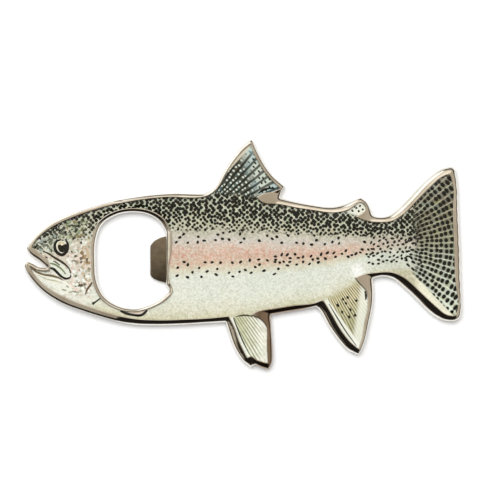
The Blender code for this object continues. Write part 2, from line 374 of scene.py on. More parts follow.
def shoulder(distance, wide, drop):
    # quarter ellipse: full drop at the edge, none past the width
    share = np.clip(1 - np.maximum(distance - 0.0002, 0) / wide, 0, 1)
    return drop * (1 - np.sqrt(np.clip(1 - share ** 2, 0, 1)))


def rolledHeight(fromEdge, fromRecess, wide, drop):
    # rolled outer edge and small lip at the recess, the roll no wider than the rim is there
    share = np.minimum(1.0, (fromEdge + fromRecess) / wide)
    outer = shoulder(fromEdge, wide * share, drop * share)
    inner = shoulder(fromRecess, cast["lip"], cast["lip"])
    return castTop - np.maximum(outer, inner)


def rimHeight(points):
    start, end = cast["headEnds"]
    share = np.clip((points[:, 0] - start) / (end - start), 0, 1)
    wide = cast["headWide"] + (cast["shoulderWide"] - cast["headWide"]) * share
    drop = cast["headDrop"] + (cast["shoulderDrop"] - cast["headDrop"]) * share
    return rolledHeight(distanceTo(points, outline), distanceTo(points, recess), wide, drop)


def ringHeight(points):
    return rolledHeight(distanceTo(points, opening), distanceTo(points, ring),
                        cast["holeShoulderWide"], cast["holeShoulderDrop"])


def backHeight(points):
    edge = np.minimum(distanceTo(points, outline), distanceTo(points, opening))
    return shoulder(edge, cast["backRound"], cast["backRound"])


def circleLoop(centre, radius, sides):
    angles = [2 * pi * k / sides for k in range(sides)]
    return np.array([(centre[0] + radius * cos(a), centre[1] + radius * sin(a)) for a in angles])


def boxCentre(partName):
    low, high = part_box(partName)
    return tuple((low.xy + high.xy) / 2 / mm)


def buildCasting():
    shell = Shell()
    steps, spacing = cast["profileSteps"], cast["spacing"]
    outerRows = profileRows(cast["shoulderWide"], steps) + [cast["headWide"]]
    lipRows = profileRows(cast["lip"], 3) + [cast["lip"] + cast["lipGuard"]]
    band = [outline, turned(recess, -1)]
    shell.sheet(band, rowPoints(band, (outerRows, lipRows), spacing), rimHeight)
    band = [turned(ring, 1), opening]
    holeRows = profileRows(cast["holeShoulderWide"], steps)
    shell.sheet(band, rowPoints(band, (lipRows, holeRows), spacing), ringHeight)
    shell.wall(recess, (recessFloor, rimHeight(recess)))
    shell.wall(ring, (recessFloor, ringHeight(ring)))
    shell.sheet([recess, ring], [], flatAt(recessFloor))
    shell.wall(outline, (cast["backRound"], cast["outerWaist"], rimHeight(outline)))
    shell.wall(opening, (cast["backRound"], cast["holeWaist"], ringHeight(opening)))
    pockets = [turned(circleLoop(boxCentre(name), cast["pocketRadius"], cast["pocketSides"]), -1)
               for name in ("magnet_front", "magnet_rear")]
    back = [outline, opening] + pockets
    backRows = profileRows(cast["backRound"], 4) + [cast["backRound"] + cast["backGuard"]]
    grid = gridPoints(back, cast["backGrid"])
    rows = rowPoints(back, (backRows, backRows, cast["pocketRows"], cast["pocketRows"]), spacing)
    shell.sheet(back, np.concatenate((rows, grid)), backHeight)
    for pocket in pockets:
        shell.wall(pocket, (0, cast["pocketDepth"]))
        shell.sheet([pocket], [], flatAt(cast["pocketDepth"]))
    return shell.finish("castingRim")


casting = buildCasting()
print("casting", len(casting.data.polygons))


# material building

def colourOf(red, green, blue, gain=1.0):
    # screen colour 0-255 to the linear colour a shader wants
    def linear(c):
        c = c / 255
        return c / 12.92 if c <= 0.04045 else ((c + 0.055) / 1.055) ** 2.4
    return (linear(red) * gain, linear(green) * gain, linear(blue) * gain, 1.0)


class Nodes:
    # short ways to add and join shader nodes
    def __init__(self, name):
        self.material = bpy.data.materials.new(name)
        self.material.use_nodes = True
        self.tree = self.material.node_tree
        self.shader = self.tree.nodes["Principled BSDF"]
        self.output = self.tree.nodes["Material Output"]

    def new(self, kind, **settings):
        node = self.tree.nodes.new("ShaderNode" + kind)
        for key, value in settings.items():
            setattr(node, key, value)
        return node

    def feed(self, socket, value):
        if isinstance(value, bpy.types.NodeSocket):
            self.tree.links.new(value, socket)
        else:
            socket.default_value = value

    def math(self, operation, first, second=None, third=None):
        node = self.new("Math", operation=operation)
        for socket, value in zip(node.inputs, (first, second, third)):
            if value is not None:
                self.feed(socket, value)
        return node.outputs[0]

    def plus(self, first, second):
        return self.math("ADD", first, second)

    def minus(self, first, second):
        return self.math("SUBTRACT", first, second)

    def times(self, first, second):
        return self.math("MULTIPLY", first, second)

    def scaled(self, value, scale, shift):
        return self.math("MULTIPLY_ADD", value, scale, shift)

    def away(self, x, y, centre):
        # distance from a point seen from above
        across = self.math("POWER", self.minus(x, centre[0]), 2.0)
        along = self.math("POWER", self.minus(y, centre[1]), 2.0)
        return self.math("SQRT", self.plus(across, along))

    def split(self, vector):
        node = self.new("SeparateXYZ")
        self.feed(node.inputs[0], vector)
        return node.outputs

    def stretched(self, vector, scale, turn=0.0):
        node = self.new("Mapping")
        self.feed(node.inputs["Vector"], vector)
        node.inputs["Rotation"].default_value = (0, 0, turn)
        node.inputs["Scale"].default_value = scale
        return node.outputs[0]

    def step(self, value, low, high, start=0.0, end=1.0):
        # smooth change from start to end as the value goes from low to high
        node = self.new("MapRange", interpolation_type="SMOOTHSTEP")
        flip = low > high
        limits = (high, low, end, start) if flip else (low, high, start, end)
        for socket, number in zip(node.inputs, (value, *limits)):
            self.feed(socket, number)
        return node.outputs[0]

    def mix(self, factor, first, second, blend="MIX"):
        node = self.new("Mix", data_type="RGBA", blend_type=blend)
        self.feed(node.inputs[0], factor)
        self.feed(node.inputs[6], first)
        self.feed(node.inputs[7], second)
        return node.outputs[2]

    def ramp(self, factor, stops):
        node = self.new("ValToRGB")
        bits = node.color_ramp.elements
        while len(bits) < len(stops):
            bits.new(0.5)
        for bit, (place, colour) in zip(bits, stops):
            bit.position = place
        for bit, (place, colour) in zip(bits, stops):
            bit.color = colour
        self.feed(node.inputs[0], factor)
        return node.outputs[0]

    def place(self, scale=1 / mm, turn=0.0, shift=(0, 0, 0)):
        # object coordinates in millimetres, moved, then turned about the vertical
        where = self.new("TexCoord").outputs["Object"]
        node = self.new("Mapping", vector_type="POINT")
        self.feed(node.inputs["Vector"], where)
        node.inputs["Scale"].default_value = (scale, scale, scale)
        node.inputs["Rotation"].default_value = (0, 0, turn)
        node.inputs["Location"].default_value = shift
        return node.outputs[0]

    def noise(self, vector, scale, detail=2.0, rough=0.5, distortion=0.0, dimensions="3D"):
        node = self.new("TexNoise", noise_dimensions=dimensions)
        self.feed(node.inputs["Vector"], vector)
        node.inputs["Scale"].default_value = scale
        node.inputs["Detail"].default_value = detail
        node.inputs["Roughness"].default_value = rough
        node.inputs["Distortion"].default_value = distortion
        return node.outputs

    def cells(self, vector, scale, random=1.0, feature="F1", dimensions="2D"):
        node = self.new("TexVoronoi", voronoi_dimensions=dimensions, feature=feature)
        self.feed(node.inputs["Vector"], vector)
        node.inputs["Scale"].default_value = scale
        node.inputs["Randomness"].default_value = random
        return node.outputs

    def bump(self, height, strength, distance):
        node = self.new("Bump")
        self.feed(node.inputs["Height"], height)
        node.inputs["Strength"].default_value = strength
        node.inputs["Distance"].default_value = distance * mm
        return node.outputs[0]

    def surface(self, **values):
        names = {"colour": "Base Color", "rough": "Roughness", "metal": "Metallic", "normal": "Normal",
                 "ior": "IOR", "specular": "Specular IOR Level", "coat": "Coat Weight",
                 "coatRough": "Coat Roughness"}
        for key, value in values.items():
            self.feed(self.shader.inputs[names[key]], value)
        return self.material


# bright plating

plating = {
    "colour": (0.93, 0.90, 0.84, 1.0),
    "shade": (0.80, 0.75, 0.67, 1.0),
    "scratch": (0.52, 0.46, 0.38, 1.0),
    "brownPatch": (0.36, 0.27, 0.20, 1.0),
    "rough": 0.10,
}


def makePlating():
    nodes = Nodes("brightPlating")
    at = nodes.place()
    cloud = nodes.noise(at, 0.16, 3.0)["Fac"]
    grain = nodes.noise(at, 2.6, 3.0, 0.6)["Fac"]
    lines = nodes.noise(nodes.stretched(at, (0.25, 6.0, 1.0), 0.6), 1.0, 2.0, 0.5)["Fac"]
    fine = nodes.step(lines, 0.62, 0.70)
    tint = nodes.mix(nodes.step(cloud, 0.35, 0.7), plating["colour"], plating["shade"])
    tint = nodes.mix(nodes.times(fine, 0.25), tint, plating["scratch"])
    # brown patch on the plating round the pelvic fin
    x, y, _ = nodes.split(at)
    brownPatch = nodes.times(nodes.step(y, -15.5, -19), nodes.step(x, 2.5, 5.5))
    brownPatch = nodes.times(brownPatch, nodes.step(x, 28, 20))
    brownPatch = nodes.times(brownPatch, nodes.step(cloud, 0.2, 0.5, 0.75, 0.95))
    tint = nodes.mix(brownPatch, tint, plating["brownPatch"])
    rough = nodes.plus(plating["rough"], nodes.times(nodes.minus(grain, 0.5), 0.12))
    rough = nodes.plus(rough, nodes.times(fine, 0.10))
    height = nodes.plus(nodes.times(cloud, 1.0), nodes.times(grain, 0.12))
    return nodes.surface(colour=tint, rough=rough, metal=1.0, normal=nodes.bump(height, 0.35, 0.06))


platingMaterial = makePlating()
casting.data.materials.append(platingMaterial)
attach(casting, bodyName)
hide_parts("cast_body")
print("casting plated")


# tooth

tooth = {
    "bevel": 0.35,
    "bottom": 0.2,
    "top": 2.0,
}
toothEdge = [(-25.2, 6.9), (-26.2, 6.4), (-28.6, 5.8), (-30.6, 4.7), (-31.75, 3.45), (-32.0, 2.8),
             (-32.0, -6.9), (-31.6, -7.7), (-30.8, -8.4), (-28.8, -9.2), (-26.2, -9.8), (-25.2, -10.2)]


def buildTooth():
    mesh = bpy.data.meshes.new("capTooth")
    corners = [(x * mm, y * mm, tooth["bottom"] * mm) for x, y in toothEdge]
    mesh.from_pydata(corners, [], [tuple(range(len(corners)))])
    piece = newPiece("capTooth", mesh)
    thicken((tooth["top"] - tooth["bottom"]) * mm)
    bevelEdges(piece, tooth["bevel"], 3, 50)
    bpy.ops.object.shade_smooth_by_angle(angle=radians(40))
    piece.select_set(False)
    return piece


def makeToothFinish():
    nodes = Nodes("darkToothMetal")
    at = nodes.place()
    cloud = nodes.noise(at, 0.5, 3.0)["Fac"]
    grain = nodes.noise(at, 3.0, 3.0, 0.6)["Fac"]
    # the tooth is given a darker, browner metal colour than the casting's plating
    tint = nodes.mix(nodes.step(cloud, 0.3, 0.7), (0.31, 0.26, 0.19, 1), (0.24, 0.20, 0.15, 1))
    rough = nodes.scaled(grain, 0.15, 0.25)
    return nodes.surface(colour=tint, rough=rough, metal=1.0, normal=nodes.bump(grain, 0.4, 0.05))


capTooth = buildTooth()
capTooth.data.materials.append(makeToothFinish())
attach(capTooth, bodyName)


# clear dome over the print

dome = {
    "gap": 0.05,
    "bottom": 3.15,
    "edge": 3.72,
    "rise": 0.46,
    "reach": 2.0,     # how far in the surface climbs before it lies flat
    "power": 2.6,
    "rows": (0.06, 0.15, 0.28, 0.45, 0.7, 1.0, 1.3, 1.65, 2.0, 2.3),
    "spacing": 0.7,
    "ior": 1.45,
}
label = {"gap": 0.05, "bottom": 2.85, "top": 3.05, "adhesiveGap": 0.1}


def shrunk(loop, distance):
    # the loop moved to its left, which is into the sheet, with its corners kept
    before = unit(loop - np.roll(loop, 1, 0))
    after = unit(np.roll(loop, -1, 0) - loop)
    normal = unit(np.column_stack((-(before[:, 1] + after[:, 1]), before[:, 0] + after[:, 0])))
    straight = np.column_stack((-after[:, 1], after[:, 0]))
    stretch = np.maximum((normal * straight).sum(1), 0.4)
    return loop + normal * distance / stretch[:, None]


def domeHeight(points):
    edge = np.minimum(distanceTo(points, domeOuter), distanceTo(points, domeInner))
    left = np.clip(1 - edge / dome["reach"], 0, 1)
    return dome["edge"] + dome["rise"] * (1 - left ** dome["power"])


domeOuter = shrunk(recess, dome["gap"])
domeInner = shrunk(ring, dome["gap"])


def buildDome():
    shell = Shell()
    loops = [domeOuter, domeInner]
    shell.sheet(loops, rowPoints(loops, (dome["rows"], dome["rows"]), dome["spacing"]), domeHeight)
    shell.sheet(loops, [], flatAt(dome["bottom"]))
    for loop in loops:
        shell.wall(loop, (dome["bottom"], dome["edge"]))
    return shell.finish("domedResin")


def makeResin():
    nodes = Nodes("clearResin")
    at = nodes.place()
    ripple = nodes.noise(at, 0.12, 2.0)["Fac"]
    speck = nodes.noise(at, 3.5, 2.0)["Fac"]
    normal = nodes.bump(ripple, 0.10, 0.10)
    clear = nodes.new("BsdfTransparent")
    tint = nodes.mix(nodes.step(ripple, 0.3, 0.7), (1, 1, 0.99, 1), (0.985, 0.99, 0.98, 1))
    nodes.feed(clear.inputs["Color"], tint)
    gloss = nodes.new("BsdfGlossy")
    gloss.inputs["Color"].default_value = (1, 1, 1, 1)
    nodes.feed(gloss.inputs["Roughness"], nodes.scaled(speck, 0.03, 0.055))
    nodes.feed(gloss.inputs["Normal"], normal)
    fresnel = nodes.new("Fresnel")
    fresnel.inputs["IOR"].default_value = dome["ior"]
    nodes.feed(fresnel.inputs["Normal"], normal)
    front = nodes.minus(1.0, nodes.new("NewGeometry").outputs["Backfacing"])
    blend = nodes.new("MixShader")
    nodes.feed(blend.inputs[0], nodes.times(fresnel.outputs[0], front))
    nodes.tree.links.new(clear.outputs[0], blend.inputs[1])
    nodes.tree.links.new(gloss.outputs[0], blend.inputs[2])
    nodes.tree.links.new(blend.outputs[0], nodes.output.inputs["Surface"])
    nodes.tree.nodes.remove(nodes.shader)
    return nodes.material


domedResin = buildDome()
domedResin.data.materials.append(makeResin())
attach(domedResin, bodyName)
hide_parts("clear_dome")
print("dome", len(domedResin.data.polygons))


# printed trout

# top and bottom of the trunk along its length, without the fins
trunk = {
    "top": [(-72, 3), (-60, 12), (-44, 17), (-24, 19.8), (0, 19.3), (20, 15.8), (31, 14.3),
            (45, 11.2), (55, 11), (62, 9)],
    "bottom": [(-72, -5.5), (-61, -14.7), (-37, -22), (-20, -22.2), (0, -20.6), (19, -17.3), (30, -14.5),
               (40, -9), (50, -6), (62, -6)],
}
printTone = 0.89            # how dark the whole print is kept
paintedGlintCentre = (39.4, -5.8)    # middle of the painted highlight: the resin's white glint, painted into the belly as a pale spot
darkClump = (58.0, 10.0)    # where the rays of the tail run together


def tone(red, green, blue):
    return colourOf(red, green, blue, printTone)


def printRamp(nodes, value, stops):
    return nodes.ramp(value, [(place, tone(*colour)) for place, *colour in stops])


def lineCurve(nodes, value, points, low=-26.0, high=26.0):
    # a value in mm read off a given curve along x
    left, right = points[0][0], points[-1][0]
    node = nodes.new("FloatCurve")
    curve = node.mapping.curves[0]
    scaled = [((x - left) / (right - left), (y - low) / (high - low)) for x, y in points]
    curve.points[0].location = scaled[0]
    curve.points[1].location = scaled[-1]
    for place in scaled[1:-1]:
        curve.points.new(*place)
    node.mapping.update()
    nodes.feed(node.inputs["Value"], nodes.math("DIVIDE", nodes.minus(value, left), right - left))
    return nodes.scaled(node.outputs[0], high - low, low)


fans = {
    "tail": {"focus": (46.0, 3.0), "angle": 4.7, "step": 1.7, "spot": 0.39, "loose": 0.34, "line": 0.05},
    "dorsal": {"focus": (-17.5, 9.5), "angle": 4.4, "step": 1.4, "spot": 0.23, "loose": 0.5,
               "line": 0.19},
    # these two have rays but no rows of spots
    "anal": {"focus": (17.0, 14.0), "angle": 1.3, "loose": 0.2, "line": 0.22},
    "pelvic": {"focus": (-24.0, 12.0), "angle": 1.15, "loose": 0.2, "line": 0.20},
}


def fanPattern(nodes, x, y, fan):
    # masks of the rows of spots between the rays, and of the rays, as they spread from one point
    across = nodes.minus(x, fan["focus"][0])
    along = nodes.minus(y, fan["focus"][1])
    wave = nodes.noise(nodes.place(), 0.2, 1.0)["Fac"]
    angle = nodes.math("DIVIDE", nodes.math("ARCTAN2", along, across), radians(fan["angle"]))
    angle = nodes.plus(angle, nodes.times(wave, 0.3))
    spots = None
    if "spot" in fan:
        reach = nodes.math("SQRT", nodes.plus(nodes.times(across, across), nodes.times(along, along)))
        grid = nodes.new("CombineXYZ")
        nodes.feed(grid.inputs[0], angle)
        nodes.feed(grid.inputs[1], nodes.math("DIVIDE", reach, fan["step"]))
        near = nodes.cells(grid.outputs[0], 1.0, fan["loose"])["Distance"]
        spots = nodes.step(near, fan["spot"] + 0.07, fan["spot"] - 0.07)
    middle = nodes.minus(angle, fan["loose"] / 2)
    saw = nodes.math("ABSOLUTE", nodes.minus(nodes.math("FRACT", middle), 0.5))
    rays = nodes.step(saw, fan["line"] + 0.06, fan["line"] - 0.06)
    return spots, rays


def makePrint():
    nodes = Nodes("troutPrint")
    at = nodes.place()
    x, y, _ = nodes.split(at)
    soft = nodes.noise(at, 0.22, 3.0)["Fac"]
    patchy = nodes.noise(at, 0.45, 3.0, 0.6)["Fac"]
    grain = nodes.noise(at, 1.5, 3.0, 0.75)["Fac"]
    fleck = nodes.noise(nodes.place(shift=(30, 10, 0)), 2.2, 1.0, 0.5)
    top = lineCurve(nodes, x, trunk["top"])
    bottom = lineCurve(nodes, x, trunk["bottom"])
    depth = nodes.minus(top, bottom)
    share = nodes.math("DIVIDE", nodes.minus(y, bottom), depth)
    share = nodes.plus(share, nodes.times(nodes.minus(soft, 0.5), 0.10))
    share = nodes.plus(share, nodes.times(nodes.minus(grain, 0.5), 0.05))

    flank = printRamp(nodes, share, [
        (0.00, 205, 200, 168), (0.06, 222, 220, 200), (0.16, 226, 228, 216),
        (0.34, 226, 229, 219), (0.40, 218, 212, 190), (0.45, 212, 188, 164),
        (0.52, 210, 172, 152), (0.58, 214, 190, 174), (0.64, 207, 198, 190),
        (0.70, 196, 190, 172), (0.77, 186, 180, 152), (0.90, 184, 188, 166),
    ])
    rearFlank = printRamp(nodes, share, [
        (0.00, 196, 190, 160), (0.10, 208, 212, 198), (0.36, 205, 211, 198),
        (0.50, 192, 186, 170), (0.62, 190, 176, 160), (0.74, 178, 174, 156),
        (0.90, 178, 182, 162),
    ])
    cheek = printRamp(nodes, share, [
        (0.00, 236, 236, 226), (0.22, 232, 234, 228), (0.40, 214, 206, 196),
        (0.52, 204, 184, 166), (0.66, 196, 190, 168), (0.80, 164, 168, 144),
        (0.95, 146, 150, 126),
    ])
    body = nodes.mix(nodes.step(x, 28, 56), flank, rearFlank)
    body = nodes.mix(nodes.step(x, -48, -56), body, cheek)

    # lighter and darker blotches of the head
    head = nodes.step(x, -49, -54)
    blotch = printRamp(nodes, patchy, [
        (0.30, 176, 172, 146), (0.42, 226, 208, 194), (0.52, 240, 238, 230),
        (0.62, 196, 200, 180), (0.72, 206, 168, 132),
    ])
    body = nodes.mix(nodes.times(head, 0.5), body, blotch)

    # salmon flecks along the stripe, and green, blue and tan tints between the dots of the back
    stripe = nodes.times(nodes.step(share, 0.38, 0.48), nodes.step(share, 0.66, 0.54))
    stripe = nodes.times(stripe, nodes.step(x, 58, 30))
    stripe = nodes.times(stripe, nodes.step(x, -52, -46))
    salmon = nodes.noise(nodes.place(shift=(7, 3, 0)), 1.15, 2.0, 0.6)["Fac"]
    body = nodes.mix(nodes.times(stripe, nodes.step(salmon, 0.50, 0.62, 0.0, 0.55)), body,
                     tone(222, 146, 122))
    body = nodes.mix(nodes.times(stripe, nodes.step(salmon, 0.46, 0.34, 0.0, 0.40)), body,
                     tone(214, 206, 196))
    backTint = printRamp(nodes, nodes.noise(nodes.place(shift=(-9, 4, 0)), 0.55, 2.0, 0.7)["Fac"], [
        (0.36, 150, 178, 140), (0.45, 206, 200, 166), (0.52, 176, 190, 180),
        (0.60, 196, 176, 132), (0.68, 160, 184, 186),
    ])
    body = nodes.mix(nodes.step(share, 0.70, 0.84, 0.0, 0.65), body, backTint)

    # painted highlight: the white glint of the resin above the root of the anal fin, painted into the
    # print as a pale patch
    paintedGlintDistance = nodes.away(x, y, paintedGlintCentre)
    body = nodes.mix(nodes.step(paintedGlintDistance, 3.6, 0.8, 0.0, 0.9), body, tone(255, 255, 255))

    # fine speckle of the print all over
    body = nodes.mix(nodes.step(grain, 0.35, 0.68, 0.0, 0.30), body, tone(255, 255, 250))
    body = nodes.mix(nodes.step(grain, 0.60, 0.30, 0.0, 0.26), body, tone(120, 110, 92))
    body = nodes.mix(0.10, body, fleck["Color"], "OVERLAY")

    # dark dots packed over the back
    lattice = nodes.place(turn=radians(45))
    dots = nodes.cells(lattice, 1 / 1.2, 0.6)["Distance"]
    size = nodes.step(share, 0.62, 0.88, 0.20, 0.51)
    size = nodes.plus(size, nodes.times(nodes.minus(patchy, 0.5), 0.25))
    dark = nodes.step(nodes.minus(size, dots), -0.06, 0.06)
    dark = nodes.times(dark, nodes.step(share, 0.68, 0.76))
    crown = nodes.times(nodes.step(x, -50, -57), nodes.step(share, 1.0, 0.86))
    dark = nodes.times(dark, nodes.minus(1.0, nodes.times(crown, 0.18)))
    body = nodes.mix(dark, body, tone(14, 14, 8))

    # tail: pale rays with dark spots in rows between them
    tailHere = nodes.step(nodes.plus(x, nodes.times(soft, 6.0)), 60.5, 64)
    tailBase = printRamp(nodes, nodes.scaled(y, 1 / 52, 0.45), [
        (0.00, 236, 240, 226), (0.16, 206, 212, 196), (0.36, 160, 164, 148),
        (0.55, 138, 138, 116), (0.78, 108, 102, 88), (1.00, 138, 136, 122),
    ])
    spots, rays = fanPattern(nodes, x, y, fans["tail"])
    tailBase = nodes.mix(nodes.step(patchy, 0.50, 0.70, 0.0, 0.55), tailBase, tone(146, 152, 96))
    tailBase = nodes.mix(nodes.step(soft, 0.52, 0.66, 0.0, 0.5), tailBase, tone(150, 162, 152))
    clump = nodes.away(x, y, darkClump)
    tailBase = nodes.mix(nodes.step(clump, 7.5, 2.0, 0.0, 0.8), tailBase, tone(70, 64, 54))
    rays = nodes.times(rays, nodes.step(patchy, 0.32, 0.56, 0.35, 1.0))
    tailBase = nodes.mix(rays, tailBase, nodes.mix(nodes.step(y, -2, 6), tone(246, 248, 236),
                                                   tone(214, 204, 180)))
    tailBase = nodes.mix(spots, tailBase, tone(8, 7, 4))
    lowerEdge = nodes.plus(y, nodes.times(x, 1.02))
    tailBase = nodes.mix(nodes.step(lowerEdge, 53.1, 52.5, 0.0, 0.9), tailBase, tone(244, 240, 220))
    body = nodes.mix(tailHere, body, tailBase)

    # dorsal fin: pale dashes between dark rays, bluer with dark dots towards its rear edge
    over = nodes.minus(y, top)
    dorsalHere = nodes.times(nodes.step(over, 0.3, 2.0), nodes.step(x, 25, 17))
    spots, rays = fanPattern(nodes, x, y, fans["dorsal"])
    rear = nodes.step(nodes.scaled(y, 0.35, x), 9.5, 14.5)
    frontPart = nodes.mix(spots, nodes.mix(nodes.step(patchy, 0.45, 0.60), tone(70, 72, 60),
                                           tone(84, 104, 100)), tone(222, 226, 216))
    rearPart = nodes.mix(nodes.step(soft, 0.42, 0.58), tone(204, 212, 200), tone(182, 202, 202))
    rearPart = nodes.mix(spots, rearPart, tone(12, 14, 9))
    dorsalBase = nodes.mix(rear, frontPart, rearPart)
    dorsalBase = nodes.mix(nodes.times(rays, nodes.scaled(rear, -0.1, 0.95)),
                           dorsalBase, tone(16, 17, 11))
    dorsalBase = nodes.mix(nodes.step(y, 33.4, 36.0, 0.0, 0.5), dorsalBase, tone(176, 206, 212))
    leading = nodes.plus(y, nodes.times(x, -1.08))
    dorsalBase = nodes.mix(nodes.step(leading, 33.7, 34.6, 0.0, 0.85), dorsalBase, tone(232, 220, 198))
    body = nodes.mix(dorsalHere, body, dorsalBase)

    # adipose fin
    adiposeHere = nodes.times(nodes.step(over, 0.6, 1.6), nodes.step(x, 34, 37.5))
    adiposeHere = nodes.times(adiposeHere, nodes.step(x, 47, 44))
    body = nodes.mix(adiposeHere, body, tone(232, 232, 220))

    # anal and pelvic fins
    under = nodes.minus(bottom, y)
    analHere = nodes.times(nodes.step(under, -0.5, 1.2), nodes.step(x, 24, 28))
    analHere = nodes.times(analHere, nodes.step(x, 49, 46))
    _, rays = fanPattern(nodes, x, y, fans["anal"])
    analBase = printRamp(nodes, nodes.scaled(y, 1 / 26, 1.27), [
        (0.0, 178, 174, 136), (0.35, 196, 192, 158), (0.70, 228, 218, 184), (1.0, 228, 214, 182),
    ])
    analBase = nodes.mix(nodes.step(patchy, 0.48, 0.66, 0.0, 0.5), analBase, tone(170, 166, 112))
    rayHere = nodes.times(rays, nodes.step(patchy, 0.36, 0.64, 1.0, 0.55))
    analBase = nodes.mix(rayHere, analBase, tone(82, 80, 52))
    rearEdge = nodes.plus(x, nodes.times(y, -0.15))
    analBase = nodes.mix(nodes.step(rearEdge, 41.2, 43.2, 0.0, 0.8), analBase, tone(242, 242, 232))
    frontEdge = nodes.plus(x, nodes.times(y, 0.718))
    analBase = nodes.mix(nodes.step(frontEdge, 18.3, 17.7, 0.0, 0.9), analBase, tone(246, 246, 238))
    body = nodes.mix(analHere, body, analBase)
    pelvicHere = nodes.times(nodes.step(under, 0.2, 1.2), nodes.step(x, 16, 13))
    pelvicHere = nodes.times(pelvicHere, nodes.step(x, -9, -6))
    _, rays = fanPattern(nodes, x, y, fans["pelvic"])
    pelvicBase = printRamp(nodes, nodes.scaled(x, 1 / 14, 0.45), [
        (0.0, 206, 206, 184), (0.4, 216, 214, 184), (0.62, 238, 236, 220), (0.9, 250, 248, 240),
    ])
    pelvicBase = nodes.mix(nodes.step(patchy, 0.48, 0.66, 0.0, 0.35), pelvicBase, tone(172, 174, 134))
    rayHere = nodes.times(rays, nodes.step(soft, 0.30, 0.50, 0.3, 0.9))
    rayHere = nodes.times(rayHere, nodes.step(x, 8.0, 3.0, 0.15, 1.0))
    pelvicBase = nodes.mix(rayHere, pelvicBase, tone(134, 136, 100))
    frontEdge = nodes.plus(x, nodes.times(y, 0.42))
    pelvicBase = nodes.mix(nodes.step(frontEdge, -12.2, -12.8, 0.0, 0.9), pelvicBase, tone(246, 246,
                                                                                           238))
    body = nodes.mix(pelvicHere, body, pelvicBase)
    rough = nodes.scaled(grain, 0.2, 0.45)
    return nodes.surface(colour=body, rough=rough, specular=0.1, normal=nodes.bump(grain, 0.1, 0.02))


def buildSheet(name, gap, bottom, top):
    # flat sheet that fills the recess up to a gap from its walls
    edges = [shrunk(recess, gap), shrunk(ring, gap)]
    shell = Shell()
    for level in (bottom, top):
        shell.sheet(edges, [], flatAt(level))
    for loop in edges:
        shell.wall(loop, (bottom, top))
    return shell.finish(name, 30)


troutLabel = buildSheet("troutLabel", label["gap"], label["bottom"], label["top"])
troutLabel.data.materials.append(makePrint())
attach(troutLabel, bodyName)
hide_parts("printed_label")
print("label printed")


# drawn marks on the print

ink = {
    "foot": 3.0,        # marks start just inside the film
    "top": 3.07,
    "layer": 0.012,     # one mark drawn over another stands this much higher
    "black": (10, 9, 6),
    "hair": 0.00002,    # every mark stands this much above the one before
    "edge": 0.12,       # marks end this far inside the recess
    "scatterEdge": 0.7,  # strewn marks start this far inside it
}
filmEdges = [shrunk(recess, ink["edge"]), shrunk(ring, ink["edge"])]
scatterEdges = [shrunk(recess, ink["scatterEdge"]), shrunk(ring, ink["scatterEdge"])]
inkShell = Shell()
inkColours = []
inkMarks = []


def inkLevel(layer):
    # each new mark stands a hair above the last, so that none share a plane
    inkMarks.append(layer)
    return ink["top"] + layer * ink["layer"] + len(inkMarks) * ink["hair"]


def addMark(corners, faces, colour):
    inkShell.add(corners, faces)
    inkColours.extend([tone(*colour)] * len(corners))


def curved(points, steps=6, closed=False):
    # smooth run through given points, any number of values each
    points = [np.array(p, float) for p in points]
    count = len(points)
    run = []
    for i in range(count if closed else count - 1):
        before = points[i - 1] if closed or i else points[i]
        start = points[i]
        end = points[(i + 1) % count]
        after = points[(i + 2) % count] if closed or i + 2 < count else end
        for k in range(steps):
            t = k / steps
            bend = 2 * before - 5 * start + 4 * end - after
            twist = 3 * start - before - 3 * end + after
            run.append(0.5 * (2 * start + (end - before) * t + bend * t * t + twist * t ** 3))
    if not closed:
        run.append(points[-1])
    return np.array(run)


def nearestOn(point, loop):
    # the closest place to a point on a loop
    along = np.roll(loop, -1, 0) - loop
    share = np.clip(((point - loop) * along).sum(1) / np.maximum((along ** 2).sum(1), tiny), 0, 1)
    places = loop + share[:, None] * along
    return places[np.linalg.norm(places - point, axis=1).argmin()]


def drawnBack(points):
    # corners past the edge of the film are drawn back to it
    points = np.array(points, float)
    for i in np.flatnonzero(~insideLoops(points, filmEdges)):
        places = [nearestOn(points[i], edge) for edge in filmEdges]
        points[i] = min(places, key=lambda place: hypot(*(place - points[i])))
    return points


def longestInside(run):
    # the longest stretch of a line that lies on the film
    inside = insideLoops(run[:, :2], filmEdges)
    best, start = (0, 0), None
    for i, within in enumerate([*inside, False]):
        if within and start is None:
            start = i
        elif not within and start is not None:
            best = max(best, (start, i), key=lambda span: span[1] - span[0])
            start = None
    return run[best[0]:best[1]]


def stroke(points, colour, layer=0):
    # line through (x, y, width) points
    run = longestInside(curved(points))
    along = unit(np.gradient(run[:, :2], axis=0))
    side = np.column_stack((-along[:, 1], along[:, 0])) * run[:, 2:] / 2
    left, right = drawnBack(run[:, :2] + side), drawnBack(run[:, :2] - side)
    top = inkLevel(layer)
    rings = []
    for a, b in zip(left, right):
        rings += [(*a, ink["foot"]), (*b, ink["foot"]), (*b, top), (*a, top)]
    faces = [(0, 1, 2, 3), tuple(4 * (len(left) - 1) + i for i in (3, 2, 1, 0))]
    for k in range(len(left) - 1):
        for i in range(4):
            j = (i + 1) % 4
            faces.append((4 * k + i, 4 * k + 4 + i, 4 * k + 4 + j, 4 * k + j))
    addMark(rings, faces, colour)


def patch(points, colour, layer=0, steps=5):
    # filled shape with a smooth outline
    loop = turned(drawnBack(curved(points, steps, closed=True)), 1)
    top = inkLevel(layer)
    corners, tris = fillSheet([loop], [], flatAt(top))
    base, under = fillSheet([loop], [], flatAt(ink["foot"]))
    count = len(corners)
    faces = [tuple(t) for t in tris] + [tuple(count + i for i in t[::-1]) for t in under]
    addMark(np.concatenate((corners, base)), faces, colour)
    inkShell.wall(loop, (ink["foot"], top))
    inkColours.extend([tone(*colour)] * (2 * len(loop)))


